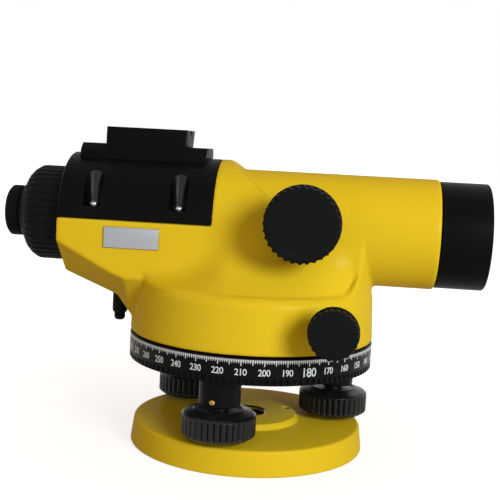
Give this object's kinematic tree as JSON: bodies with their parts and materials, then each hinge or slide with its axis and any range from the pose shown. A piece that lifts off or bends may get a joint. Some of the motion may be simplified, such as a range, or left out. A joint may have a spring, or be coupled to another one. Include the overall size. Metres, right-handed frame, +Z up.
{
  "type": "optical level",
  "caption": "Automatic optical level: telescope with compensator on a turning housing, graduated circle and three-screw levelling head.",
  "frame": {"origin": "bottom face of the foot plate, below the middle of the whole length; the vertical axis stands at x = 5.85 mm", "axes": "+X towards the objective lens, +Y away from the side with the large focus knob, +Z up"},
  "size_m": [0.2062, 0.128, 0.1342],
  "materials": {
    "yellow_paint": "satin",
    "black_paint": "satin",
    "black_plastic": "satin",
    "black_rubber": "matte",
    "steel": "satin",
    "brass": "satin",
    "alloy": "satin",
    "glass": "gloss"
  },
  "bodies": {
    "foot_plate": {"base_plate": "yellow_paint", "spring_plate": "steel", "spring_plate_screw_1": "steel", "spring_plate_screw_2": "steel", "spring_plate_screw_3": "steel", "ball_cup_1": "brass"},
    "swivel_cup_2": {"ball_cup_2": "brass"},
    "swivel_cup_3": {"ball_cup_3": "brass"},
    "levelling_head": {"trivet": "alloy", "axis_sleeve": "steel", "foot_bush_1": "black_paint", "foot_bush_2": "black_paint", "foot_bush_3": "black_paint"},
    "foot_ball_1": {"foot_ball_1": "steel"},
    "foot_ball_2": {"foot_ball_2": "steel"},
    "foot_ball_3": {"foot_ball_3": "steel"},
    "foot_screw_1": {"foot_screw_1": "black_plastic"},
    "foot_screw_2": {"foot_screw_2": "black_plastic"},
    "foot_screw_3": {"foot_screw_3": "black_plastic"},
    "circle": {"horizontal_circle": "black_paint"},
    "clutch_wheel": {"worm_wheel": "brass"},
    "upper_part": {"housing": "yellow_paint", "spindle": "steel", "worm_bush_far": "black_plastic", "worm_bush_near": "black_plastic", "focus_bush": "brass", "lens_hood": "black_plastic", "objective_cell": "alloy", "objective_lens": "glass", "telescope_cover": "black_plastic", "cover_screw_1": "steel", "cover_screw_2": "steel", "cover_screw_3": "steel", "cover_screw_4": "steel", "sight_rail": "black_plastic", "peep_sight": "black_plastic", "nameplate": "alloy", "eyepiece_sleeve": "black_paint", "reticle_cell": "alloy", "compensator_frame": "alloy", "relay_prism": "glass", "button_guide": "black_plastic", "button_spring": "steel", "vial_case": "black_plastic", "circular_vial": "glass"},
    "tangent_screw": {"worm_shaft": "steel", "tangent_knob_far": "black_plastic", "tangent_knob_near": "black_plastic"},
    "focus_drive": {"focus_pinion": "steel", "focus_knob": "black_plastic"},
    "focus_unit": {"focus_carriage": "alloy", "focus_lens": "glass"},
    "dioptre": {"dioptre_ring": "black_plastic"},
    "eyepiece": {"eyepiece_cell": "black_paint", "eye_lens": "glass", "eyecup": "black_rubber"},
    "check_button": {"check_button": "black_plastic"},
    "pendulum": {"pendulum": "brass", "pendulum_prism": "glass"}
  },
  "joints": [
    {"name": "tilt_1", "type": "hinge", "parent": "foot_plate", "child": "swivel_cup_2", "pos_m": [-0.01279, -0.00602, 0.0063], "axis": [0.3074, -0.9516, 0], "range_deg": [-1.03, 2.57]},
    {"name": "tilt_2", "type": "hinge", "parent": "swivel_cup_2", "child": "swivel_cup_3", "pos_m": [0.00996, 0.01915, 0.0063], "axis": [-0.9778, 0.2096, 0], "range_deg": [-1.03, 2.57]},
    {"name": "tilt_3", "type": "hinge", "parent": "swivel_cup_3", "child": "levelling_head", "pos_m": [0.02038, -0.01313, 0.0063], "axis": [0.6704, 0.742, 0], "range_deg": [-1.03, 2.57]},
    {"name": "foot_travel_1", "type": "slide", "parent": "levelling_head", "child": "foot_ball_1", "axis": [0, 0, -1], "range_m": [-0.00106, 0.00264]},
    {"name": "foot_travel_2", "type": "slide", "parent": "levelling_head", "child": "foot_ball_2", "axis": [0, 0, -1], "range_m": [-0.00106, 0.00264]},
    {"name": "foot_travel_3", "type": "slide", "parent": "levelling_head", "child": "foot_ball_3", "axis": [0, 0, -1], "range_m": [-0.00106, 0.00264]},
    {"name": "foot_turn_1", "type": "hinge", "parent": "foot_ball_1", "child": "foot_screw_1", "pos_m": [0.04312, 0.01204, 0.02], "axis": [0, 0, 1], "range_deg": [-950, 382]},
    {"name": "foot_turn_2", "type": "hinge", "parent": "foot_ball_2", "child": "foot_screw_2", "pos_m": [-0.00236, -0.0383, 0.02], "axis": [0, 0, 1], "range_deg": [-950, 382]},
    {"name": "foot_turn_3", "type": "hinge", "parent": "foot_ball_3", "child": "foot_screw_3", "pos_m": [-0.02321, 0.02626, 0.02], "axis": [0, 0, 1], "range_deg": [-950, 382]},
    {"name": "circle_turn", "type": "hinge", "parent": "levelling_head", "child": "circle", "pos_m": [0.00585, 0, 0.043], "axis": [0, 0, 1], "continuous": true},
    {"name": "azimuth_turn", "type": "hinge", "parent": "levelling_head", "child": "clutch_wheel", "pos_m": [0.00585, 0, 0.061], "axis": [0, 0, 1], "continuous": true},
    {"name": "fine_turn", "type": "hinge", "parent": "clutch_wheel", "child": "upper_part", "pos_m": [0.00585, 0, 0.061], "axis": [0, 0, 1], "continuous": true},
    {"name": "tangent_turn", "type": "hinge", "parent": "upper_part", "child": "tangent_screw", "pos_m": [0.04135, 0, 0.061], "axis": [0, 1, 0], "continuous": true},
    {"name": "focus_turn", "type": "hinge", "parent": "upper_part", "child": "focus_drive", "pos_m": [0.02685, -0.035, 0.1], "axis": [0, 1, 0], "range_deg": [-170, 170]},
    {"name": "focus_travel", "type": "slide", "parent": "upper_part", "child": "focus_unit", "axis": [1, 0, 0], "range_m": [-0.0125, 0.0125]},
    {"name": "dioptre_turn", "type": "hinge", "parent": "upper_part", "child": "dioptre", "pos_m": [-0.08515, 0, 0.0956], "axis": [1, 0, 0], "range_deg": [-180, 180]},
    {"name": "eyepiece_travel", "type": "slide", "parent": "upper_part", "child": "eyepiece", "axis": [1, 0, 0], "range_m": [-0.001, 0.001]},
    {"name": "check_button_press", "type": "slide", "parent": "upper_part", "child": "check_button", "axis": [0, 0, 1], "range_m": [0, 0.0024], "stiffness_N_per_m": 200, "springref_m": -0.002, "deforming": ["button_spring"]},
    {"name": "compensator_swing", "type": "hinge", "parent": "upper_part", "child": "pendulum", "pos_m": [-0.04015, 0, 0.109], "axis": [0, 1, 0], "range_deg": [-0.5, 0.5]}
  ],
  "couplings": [
    {"joint": "foot_travel_1", "follows": "tilt_1", "m_per_rad": 0.058755},
    {"joint": "foot_travel_2", "follows": "tilt_2", "m_per_rad": 0.058755},
    {"joint": "foot_travel_3", "follows": "tilt_3", "m_per_rad": 0.058755},
    {"joint": "foot_turn_1", "follows": "tilt_1", "ratio": -369.17},
    {"joint": "foot_turn_2", "follows": "tilt_2", "ratio": -369.17},
    {"joint": "foot_turn_3", "follows": "tilt_3", "ratio": -369.17},
    {"joint": "fine_turn", "follows": "tangent_turn", "ratio": 0.013889},
    {"joint": "focus_travel", "follows": "focus_turn", "m_per_rad": -0.0042},
    {"joint": "eyepiece_travel", "follows": "dioptre_turn", "m_per_rad": 0.000318}
  ]
}
